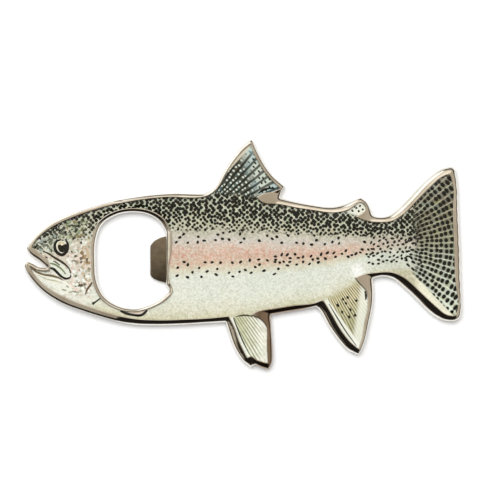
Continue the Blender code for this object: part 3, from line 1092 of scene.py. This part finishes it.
def spot(x, y, long=1.2, wide=0.9, turn=0.0, colour=None, layer=0, sides=9):
    # small uneven oval
    ring = []
    for k in range(sides):
        angle = 2 * pi * k / sides
        swell = rng.uniform(0.86, 1.12)
        a, b = long / 2 * cos(angle) * swell, wide / 2 * sin(angle) * swell
        ring.append((x + a * cos(turn) - b * sin(turn), y + a * sin(turn) + b * cos(turn)))
    ring = drawnBack(ring)
    top = inkLevel(layer)
    corners = [(*p, ink["foot"]) for p in ring] + [(*p, top) for p in ring]
    faces = [tuple(range(sides))[::-1], tuple(range(sides, 2 * sides))]
    faces += [(k, (k + 1) % sides, sides + (k + 1) % sides, sides + k) for k in range(sides)]
    addMark(corners, faces, colour or ink["black"])


def trunkAt(x, side):
    xs, ys = zip(*trunk[side])
    return float(np.interp(x, xs, ys))


def scatterSpots(count, xs, shares, gap, long=(1.0, 1.5), wide=(0.75, 1.05)):
    # spots strewn along the trunk between two shares of its depth, no closer than the gap
    placed = []
    for _ in range(count * 40):
        if len(placed) == count:
            break
        x = rng.uniform(*xs)
        low, high = trunkAt(x, "bottom"), trunkAt(x, "top")
        y = low + rng.uniform(*shares) * (high - low)
        if insideLoops(np.array([(x, y)]), scatterEdges)[0] and \
                all(hypot(x - a, y - b) > gap * rng.uniform(0.75, 1.6) for a, b in placed):
            placed.append((x, y))
            spot(x, y, rng.uniform(*long), rng.uniform(*wide), rng.uniform(-0.7, 1.3))


def drawHead():
    # skull and snout spots
    for x, y in [(-65.9, 6.6), (-67.9, 4.3), (-63.3, 8.4), (-61.1, 7.7), (-59.2, 7.8), (-57.4, 8.2),
                 (-58.3, 5.6), (-56.5, 6.1), (-55.7, 4.1), (-54.9, 8.5), (-52.9, 9.3), (-58.8, 1.0),
                 (-59.9, -0.6), (-62.9, 10.2), (-60.6, 10.6), (-58.0, 11.3), (-55.6, 11.6),
                 (-53.3, 12.4), (-56.9, 9.9), (-59.9, 9.2), (-54.5, 10.4), (-69.3, 1.9),
                 (-66.8, 8.0), (-64.4, 5.9)]:
        spot(x, y, rng.uniform(0.8, 1.15), rng.uniform(0.7, 0.95), rng.uniform(0, 3))
    for x, y, long, wide in [(-70.6, 3.6, 1.6, 0.9), (-69.9, 5.0, 1.2, 0.8), (-71.3, 2.6, 1.1, 0.7),
                             (-58.3, 0.9, 1.2, 0.9), (-59.6, -0.7, 1.0, 0.8), (-68.6, 5.9, 1.1, 0.7)]:
        spot(x, y, long, wide, 0.7, (34, 34, 24))
    # small mottled touches of colour over the cheek, the snout and the crown
    touches = [
        (120, (-59.2, -52.7), (-14.5, 4.5),
         [(220, 200, 188), (234, 234, 228), (204, 184, 162), (240, 241, 236),
          (190, 196, 176), (214, 194, 182), (178, 170, 150), (236, 232, 224)]),
        (26, (-55.5, -52.7), (-9.0, 3.0),
         [(176, 146, 110), (190, 164, 134), (150, 128, 96), (204, 182, 150)]),
        (16, (-59.0, -52.9), (-12.0, 3.0),
         [(96, 82, 66), (120, 104, 84)]),
        (34, (-70.5, -64.5), (0.2, 6.5),
         [(150, 162, 156), (120, 124, 104), (214, 216, 204), (96, 98, 78),
          (176, 182, 168)]),
        (46, (-63.0, -52.8), (5.4, 12.0),
         [(150, 160, 128), (184, 188, 160), (112, 112, 84), (206, 204, 184),
          (146, 134, 98)]),
        (20, (-64.0, -57.0), (-14.0, -9.0),
         [(244, 246, 240), (226, 222, 210), (206, 196, 180)]),
        (44, (-60.5, -53.0), (-12.5, 0.5),
         [(250, 250, 246), (240, 234, 228), (236, 216, 206)]),
    ]
    for count, xs, ys, colours in touches:
        for _ in range(count):
            x, y = rng.uniform(*xs), rng.uniform(*ys)
            if insideLoops(np.array([(x, y)]), scatterEdges)[0]:
                spot(x, y, rng.uniform(0.7, 1.7), rng.uniform(0.6, 1.2), rng.uniform(0.0, 3.1),
                     rng.choice(colours))
    # eye: iris, ring, pupil and its notch
    patch([(-62.9, 4.7), (-64.6, 3.3), (-64.1, 1.0), (-62.3, 0.1), (-60.7, 1.5), (-60.6, 3.8)],
          (246, 243, 230), 1)
    patch([(-63.4, 4.2), (-64.0, 2.4), (-62.9, 0.9), (-61.6, 1.6), (-61.3, 3.6), (-62.2, 4.4)],
          (214, 200, 166), 2)
    stroke([(-62.6, 5.2, 0.4), (-64.0, 4.6, 0.7), (-64.8, 3.2, 1.0), (-64.3, 1.1, 1.1),
            (-62.4, -0.1, 1.1), (-60.7, 1.1, 1.0), (-60.3, 3.2, 0.9), (-60.8, 4.7, 0.6),
            (-61.4, 5.2, 0.3)], ink["black"], 3)
    patch([(-63.6, 3.3), (-63.4, 1.4), (-62.0, 0.7), (-60.8, 1.9), (-60.9, 3.7),
           (-62.0, 3.2)], ink["black"], 3)
    spot(-62.3, 3.5, 0.8, 0.5, 1.2, (250, 248, 236), 4)
    for x, y, long, turn in [(-71.4, -5.1, 0.9, -0.6), (-69.6, 0.3, 1.0, -0.5),
                             (-67.6, -1.0, 1.1, -0.6)]:
        spot(x, y, long, 0.5, turn)
    # the leaf-shaped jaw bone
    stroke([(-68.9, 1.2, 0.3), (-66.9, 0.3, 0.6), (-65.0, -1.0, 0.75), (-62.6, -2.4, 0.8),
            (-60.9, -3.7, 0.6), (-59.8, -5.0, 0.5), (-59.2, -6.6, 0.4)], (46, 42, 28), 1)
    patch([(-66.8, -2.2), (-65.3, -1.9), (-63.0, -3.1), (-61.0, -4.7), (-59.7, -6.6), (-60.4, -8.0),
           (-62.3, -7.6), (-64.2, -5.9), (-66.0, -4.2)], (228, 231, 220), 2)
    stroke([(-66.4, -3.0, 0.5), (-64.8, -3.4, 0.6), (-63.2, -4.4, 0.6), (-61.9, -5.6, 0.5),
            (-61.0, -6.8, 0.4)], (120, 130, 96), 3)
    stroke([(-66.5, -4.6, 0.6), (-65.2, -5.0, 0.95), (-63.9, -6.2, 0.9), (-62.6, -7.5, 0.8),
            (-61.0, -8.3, 0.75), (-59.6, -7.9, 0.6), (-59.2, -6.9, 0.35)], ink["black"], 3)
    stroke([(-65.3, -2.2, 0.3), (-64.2, -2.8, 0.5), (-63.0, -3.7, 0.3)], (62, 66, 44), 4)
    # lower jaw
    patch([(-72.6, -5.0), (-70.4, -6.3), (-67.0, -6.7), (-63.6, -7.8), (-60.8, -9.4), (-58.6, -12.0),
           (-60.6, -13.6), (-64.8, -11.6), (-69.0, -9.0), (-71.6, -6.8)], (240, 239, 230))
    stroke([(-73.0, -4.4, 0.4), (-71.2, -5.9, 0.7), (-68.6, -6.9, 0.7), (-66.0, -7.3, 0.8),
            (-63.5, -8.0, 0.6), (-61.8, -8.9, 0.3)], (112, 96, 66), 2)
    stroke([(-70.8, -7.0, 0.2), (-67.6, -8.4, 0.5), (-64.6, -9.1, 0.5), (-62.0, -9.9, 0.2)],
           (200, 196, 170), 1)
    for x, y, long, wide, turn in [(-61.6, -12.2, 2.0, 0.6, -0.3), (-59.4, -12.9, 1.5, 0.5, 0.2),
                                   (-60.4, -11.0, 1.3, 0.6, -0.6), (-70.2, -5.6, 1.0, 0.5, -0.4),
                                   (-68.0, -5.9, 1.0, 0.7, 0.4)]:
        spot(x, y, long, wide, turn, (170, 166, 148), 1)
    # gill cover
    stroke([(-51.4, -8.4, 0.3), (-52.3, -10.2, 0.7), (-53.6, -12.0, 0.7), (-54.3, -13.9, 0.3)],
           (110, 84, 62), 1)
    stroke([(-51.9, -17.0, 1.1), (-50.9, -16.4, 0.6), (-49.4, -15.3, 0.5), (-48.0, -14.4, 0.3)],
           (44, 46, 34), 1)
    stroke([(-58.8, -12.6, 0.3), (-57.6, -12.9, 0.6), (-56.4, -13.0, 0.2)], (150, 152, 140), 1)
    stroke([(-58.9, -1.9, 0.2), (-57.8, -2.3, 0.6), (-56.6, -3.2, 0.2)], (140, 130, 118), 1)
    # pectoral fin below the opening
    patch([(-42.2, -19.3), (-38.6, -20.6), (-35.2, -20.7), (-33.0, -18.6), (-35.6, -19.9),
           (-39.4, -19.9)], (232, 214, 200), 1)
    stroke([(-42.8, -18.9, 0.7), (-40.6, -20.1, 0.95), (-37.8, -20.8, 0.85), (-35.2, -20.9, 0.9),
            (-33.4, -19.6, 0.8), (-32.6, -18.0, 0.4)], ink["black"], 2)


def drawBody():
    scatterSpots(46, (-23.5, 44), (0.62, 0.745), 1.7)
    scatterSpots(30, (-23.5, 13), (0.33, 0.475), 1.9)
    scatterSpots(34, (11, 45), (0.41, 0.525), 1.5)
    scatterSpots(86, (43, 62), (0.20, 0.86), 1.15, (0.9, 1.4), (0.65, 0.95))


def drawFins():
    for x, y in [(39.0, 16.0), (40.2, 16.7), (41.2, 15.5), (39.8, 14.9), (37.6, 15.1), (38.4, 16.5)]:
        spot(x, y, rng.uniform(0.75, 1.0), 0.75, rng.uniform(0, 3))
    for x, y in [(34.1, -19.8), (36.0, -14.8), (35.4, -16.8), (36.9, -19.0), (39.0, -15.9),
                 (32.6, -17.5), (36.5, -21.5), (38.6, -20.9), (34.4, -15.4)]:
        spot(x, y, rng.uniform(1.0, 1.3), 0.85, -1.0, (20, 18, 12))
    for x, y, long, turn in [(57.4, 5.6, 1.7, 0.5), (58.6, 3.9, 1.6, 0.2), (56.2, 4.2, 1.3, 0.3),
                             (58.2, 1.6, 1.7, -0.1), (56.4, 1.0, 1.4, -0.1),
                             (57.6, -0.8, 1.7, -0.5), (56.0, -1.4, 1.4, -0.5),
                             (58.6, -2.6, 1.8, -0.7), (56.8, -3.6, 1.6, -0.8),
                             (58.4, -5.0, 1.7, -0.9)]:
        spot(x, y, long, 0.85, turn)
    # fine dark lines inside the front edges of the lower fins, and dark strokes at the fin roots
    stroke([(29.6, -17.0, 0.2), (32.2, -21.4, 0.4), (35.6, -26.8, 0.4), (39.0, -31.4, 0.2)],
           (40, 38, 24))
    stroke([(-3.3, -21.8, 0.3), (-1.7, -26.0, 0.45), (0.2, -30.4, 0.4), (2.2, -34.2, 0.2)], (30, 30, 20))
    stroke([(41.6, -10.9, 0.3), (42.3, -13.4, 0.9), (42.2, -15.6, 0.4)], (22, 20, 14))
    stroke([(-2.6, -21.4, 0.2), (0.4, -20.9, 0.6), (3.6, -21.3, 0.3)], (60, 58, 40))
    stroke([(5.4, 21.0, 0.4), (6.6, 22.0, 0.8), (8.6, 22.7, 0.7), (11.0, 22.8, 0.3)], (20, 20, 14), 1)


def inkMaterial():
    nodes = Nodes("printInk")
    at = nodes.place()
    tint = nodes.new("Attribute", attribute_name="tint").outputs["Color"]
    worn = nodes.noise(at, 1.8, 3.0, 0.6)["Fac"]
    fleck = nodes.step(worn, 0.5, 0.8, 0.0, 0.12)
    colour = nodes.mix(fleck, tint, tone(206, 200, 184))
    colour = nodes.mix(nodes.step(worn, 0.5, 0.25, 0.0, 0.35), colour, tone(60, 56, 44))
    return nodes.surface(colour=colour, rough=nodes.scaled(worn, 0.2, 0.4), specular=0.1)


def buildInk():
    drawHead()
    drawBody()
    drawFins()
    mesh = bpy.data.meshes.new("troutInk")
    mesh.from_pydata((np.concatenate(inkShell.corners) * mm).tolist(), [], inkShell.faces)
    tint = mesh.color_attributes.new("tint", "FLOAT_COLOR", "POINT")
    tint.data.foreach_set("color", np.array(inkColours, np.float32).ravel())
    piece = newPiece("troutInk", mesh)
    closeMesh(0.0005)
    piece.select_set(False)
    return piece


troutInk = buildInk()
troutInk.data.materials.append(inkMaterial())
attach(troutInk, bodyName)
print("marks drawn", len(troutInk.data.polygons))


# magnets, glue and adhesive behind the print

magnet = {
    "sides": 96,
    "round": 0.22,
    "dish": 0.03,       # depth of the faint hollow in each face
    "dishRim": 1.2,     # flat ring round the hollow
    "dishSlope": 0.5,
}


def buildMagnet(partName, name):
    low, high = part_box(partName)
    centre = (low + high) / 2
    bpy.ops.object.select_all(action="DESELECT")
    bpy.ops.mesh.primitive_cylinder_add(vertices=magnet["sides"], radius=(high.x - low.x) / 2,
                                        depth=high.z - low.z, location=centre)
    piece = bpy.context.object
    piece.name = name
    bpy.ops.object.mode_set(mode="EDIT")
    bpy.ops.mesh.select_all(action="DESELECT")
    bpy.ops.mesh.select_mode(type="FACE")
    bpy.ops.object.mode_set(mode="OBJECT")
    for face in piece.data.polygons:
        face.select = abs(face.normal.z) > 0.9
    bpy.ops.object.mode_set(mode="EDIT")
    bpy.ops.mesh.inset(thickness=magnet["dishRim"] * mm, depth=0)
    bpy.ops.mesh.inset(thickness=magnet["dishSlope"] * mm, depth=-magnet["dish"] * mm)
    bpy.ops.mesh.select_all(action="DESELECT")
    bpy.ops.object.mode_set(mode="OBJECT")
    bevelEdges(piece, magnet["round"], 4, 60)
    bpy.ops.object.transform_apply(location=True, rotation=True, scale=True)
    bpy.ops.object.shade_smooth_by_angle(angle=radians(35))
    piece.select_set(False)
    return piece


glue = {
    "sides": 72,
    "broad": 0.35,      # three wide waves round the edge
    "narrow": 0.25,     # seven narrow ones
    "ragged": 0.06,
    "swell": 0.8,
    "round": 0.03,
}


def buildGlue(partName, name):
    # film with an uneven edge, all of it behind the magnet
    low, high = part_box(partName)
    centre = (low + high) / 2
    bpy.ops.object.select_all(action="DESELECT")
    bpy.ops.mesh.primitive_circle_add(vertices=glue["sides"], radius=(high.x - low.x) / 2,
                                      fill_type="NGON", location=centre)
    piece = bpy.context.object
    piece.name = name
    bpy.ops.object.transform_apply(location=True, rotation=True, scale=True)
    for corner in piece.data.vertices:
        out = corner.co.xy - centre.xy
        angle = np.arctan2(out.y, out.x)
        swell = glue["broad"] * sin(3 * angle + 0.7) + glue["narrow"] * sin(7 * angle)
        swell += rng.uniform(-glue["ragged"], glue["ragged"])
        corner.co.xy = centre.xy + out.normalized() * (out.length + swell * mm * glue["swell"])
        corner.co.z = low.z
    thicken(high.z - low.z)
    bevelEdges(piece, glue["round"], 3, 60)
    bpy.ops.object.shade_smooth_by_angle(angle=radians(35))
    piece.select_set(False)
    return piece


def makeMagnetFinish():
    nodes = Nodes("scuffedNickel")
    at = nodes.place()
    cloud = nodes.noise(at, 0.5, 3.0)["Fac"]
    rub = nodes.stretched(nodes.place(turn=0.4), (0.4, 9.0, 1.0))
    lines = nodes.noise(rub, 1.0, 2.0, 0.6)["Fac"]
    scratch = nodes.step(lines, 0.60, 0.66)
    tint = nodes.mix(nodes.step(cloud, 0.35, 0.65), (0.66, 0.65, 0.63, 1), (0.52, 0.51, 0.49, 1))
    tint = nodes.mix(nodes.times(scratch, 0.5), tint, (0.80, 0.79, 0.76, 1))
    rough = nodes.plus(nodes.scaled(cloud, 0.18, 0.14), nodes.times(scratch, 0.15))
    return nodes.surface(colour=tint, rough=rough, metal=1.0, normal=nodes.bump(lines, 0.25, 0.03))


def makeGlueFinish():
    nodes = Nodes("amberGlue")
    at = nodes.place()
    cloud = nodes.noise(at, 0.7, 3.0)["Fac"]
    bubbles = nodes.cells(at, 1.4, 1.0, dimensions="3D")["Distance"]
    tint = nodes.mix(nodes.step(cloud, 0.3, 0.7), (0.52, 0.43, 0.24, 1), (0.66, 0.58, 0.38, 1))
    tint = nodes.mix(nodes.step(bubbles, 0.18, 0.10, 0.0, 0.6), tint, (0.82, 0.78, 0.64, 1))
    return nodes.surface(colour=tint, rough=nodes.scaled(cloud, 0.25, 0.2), specular=0.5,
                         normal=nodes.bump(cloud, 0.4, 0.05))


def makeAdhesive():
    nodes = Nodes("milkyAdhesive")
    at = nodes.place()
    cloud = nodes.noise(at, 0.3, 3.0)["Fac"]
    bubbles = nodes.cells(at, 0.8, 1.0, dimensions="3D")["Distance"]
    tint = nodes.mix(nodes.step(cloud, 0.3, 0.7), (0.70, 0.68, 0.60, 1), (0.80, 0.79, 0.73, 1))
    tint = nodes.mix(nodes.step(bubbles, 0.16, 0.08, 0.0, 0.5), tint, (0.60, 0.57, 0.48, 1))
    return nodes.surface(colour=tint, rough=nodes.scaled(cloud, 0.2, 0.45), specular=0.4,
                         normal=nodes.bump(bubbles, 0.3, 0.03))


magnetFinish, glueFinish = makeMagnetFinish(), makeGlueFinish()
for place in ("front", "rear"):
    disc = buildMagnet("magnet_" + place, place + "Magnet")
    disc.data.materials.append(magnetFinish)
    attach(disc, bodyName)
    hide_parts("magnet_" + place)
    film = buildGlue("magnet_glue_" + place, place + "Glue")
    film.data.materials.append(glueFinish)
    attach(film, bodyName)
    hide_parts("magnet_glue_" + place)
adhesiveLow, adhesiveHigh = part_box("label_adhesive")
adhesiveSheet = buildSheet("adhesiveSheet", label["adhesiveGap"], adhesiveLow.z / mm,
                           adhesiveHigh.z / mm)
adhesiveSheet.data.materials.append(makeAdhesive())
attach(adhesiveSheet, bodyName)
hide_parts("label_adhesive")
print("magnets set")


# floor, light and camera

stageSet = {
    "floorHalf": 1.5,          # metres
    "floorHeight": -0.00002,   # metres, a hair under the flat back
    "cameraHeight": 0.6,       # metres above the face of the casting
    "viewWide": 0.1717,        # metres seen across the picture
    "aim": (0.00239, 0.00155),
    "sensor": 36.0,            # millimetres
    "floorColour": (0.93, 0.93, 0.92, 1.0),
}


def buildFloor():
    bpy.ops.object.select_all(action="DESELECT")
    bpy.ops.mesh.primitive_plane_add(size=2 * stageSet["floorHalf"],
                                     location=(0, 0, stageSet["floorHeight"]))
    floor = bpy.context.object
    floor.name = "paleFloor"
    floor.visible_glossy = False
    floor.select_set(False)
    nodes = Nodes("palePaper")
    at = nodes.place()
    fibre = nodes.noise(at, 0.8, 3.0)["Fac"]
    colour = nodes.mix(nodes.step(fibre, 0.3, 0.7), stageSet["floorColour"], (0.95, 0.95, 0.95, 1))
    nodes.surface(colour=colour, rough=0.9, specular=0.1)
    # clear from below, so that the back of the opener can be looked at
    blend = nodes.new("MixShader")
    nodes.feed(blend.inputs[0], nodes.new("NewGeometry").outputs["Backfacing"])
    nodes.tree.links.new(nodes.shader.outputs[0], blend.inputs[1])
    nodes.tree.links.new(nodes.new("BsdfTransparent").outputs[0], blend.inputs[2])
    nodes.tree.links.new(blend.outputs[0], nodes.output.inputs["Surface"])
    floor.data.materials.append(nodes.material)


def addSoftBox(name, box):
    # soft lamp that points at the origin
    lamp = bpy.data.lights.new(name, "AREA")
    lamp.shape = "RECTANGLE"
    lamp.size, lamp.size_y = box["size"]
    lamp.energy = box["power"]
    lamp.color = box["colour"]
    item = bpy.data.objects.new(name, lamp)
    bpy.context.scene.collection.objects.link(item)
    item.location = box["place"]
    item.rotation_mode = "QUATERNION"
    item.rotation_quaternion = (-Vector(box["place"])).to_track_quat("-Z", "Y")
    item.visible_glossy = False     # what the metal mirrors is painted on the sky


sky = {
    "colour": (0.49, 0.43, 0.34, 1.0),
    "horizon": (0.060, 0.052, 0.042, 1.0),    # dim band of the room's walls
    "bandLow": 0.40,      # the band gives way to the sky between these two heights, 1 being overhead
    "bandHigh": 0.56,
    # patches of the ceiling and the floor below: towards, reach and softness in degrees, colour
    "patches": [
        ((-0.42, -0.05, 0.90), 13.0, 7.0, (0.86, 0.80, 0.68, 1.0)),
        ((-0.09, -0.61, 0.79), 34.0, 4.0, (0.014, 0.012, 0.010, 1.0)),
        ((-0.57, 0.67, 0.47), 24.0, 5.0, (1.40, 1.38, 1.32, 1.0)),
        ((0.02, 0.46, 0.88), 13.0, 8.0, (1.05, 0.96, 0.82, 1.0)),
        ((0.0, 0.0, -1.0), 88.6, 0.8, (0.98, 0.98, 0.96, 1.0)),
    ],
}


northBox = {
    "place": (-0.10, 0.30, 1.2),    # metres
    "size": (1.0, 1.0),
    "power": 16.8,
    "colour": (0.92, 0.955, 1.0),
}


def buildSky():
    world = bpy.data.worlds.new("softRoom")
    world.use_nodes = True
    tree = world.node_tree
    where = tree.nodes.new("ShaderNodeTexCoord").outputs["Generated"]
    split = tree.nodes.new("ShaderNodeSeparateXYZ")
    tree.links.new(where, split.inputs[0])

    def blend(value, low, high, first, second):
        # from the first colour to the second as the value passes from low to high
        ramp = tree.nodes.new("ShaderNodeMapRange")
        ramp.interpolation_type = "SMOOTHSTEP"
        tree.links.new(value, ramp.inputs[0])
        ramp.inputs[1].default_value = low
        ramp.inputs[2].default_value = high
        node = tree.nodes.new("ShaderNodeMix")
        node.data_type = "RGBA"
        tree.links.new(ramp.outputs[0], node.inputs[0])
        if isinstance(first, bpy.types.NodeSocket):
            tree.links.new(first, node.inputs[6])
        else:
            node.inputs[6].default_value = first
        node.inputs[7].default_value = second
        return node.outputs[2]

    colour = blend(split.outputs[2], sky["bandLow"], sky["bandHigh"], sky["horizon"], sky["colour"])
    for towards, reach, soft, tint in sky["patches"]:
        dot = tree.nodes.new("ShaderNodeVectorMath")
        dot.operation = "DOT_PRODUCT"
        tree.links.new(where, dot.inputs[0])
        dot.inputs[1].default_value = Vector(towards).normalized()
        colour = blend(dot.outputs["Value"], cos(radians(reach + soft)), cos(radians(reach - soft)),
                       colour, tint)
    tree.links.new(colour, tree.nodes["Background"].inputs["Color"])
    bpy.context.scene.world = world


def buildCamera():
    lens = bpy.data.cameras.new("overhead")
    lens.sensor_width = stageSet["sensor"]
    lens.lens = stageSet["sensor"] * stageSet["cameraHeight"] / stageSet["viewWide"]
    lens.clip_start, lens.clip_end = 0.01, 10.0
    camera = bpy.data.objects.new("overhead", lens)
    bpy.context.scene.collection.objects.link(camera)
    camera.location = (*stageSet["aim"], stageSet["cameraHeight"] + cadHigh.z)
    bpy.context.scene.camera = camera


buildFloor()
buildSky()
addSoftBox("northBox", northBox)
buildCamera()
bpy.context.scene.view_settings.view_transform = "Standard"
print("stage set")
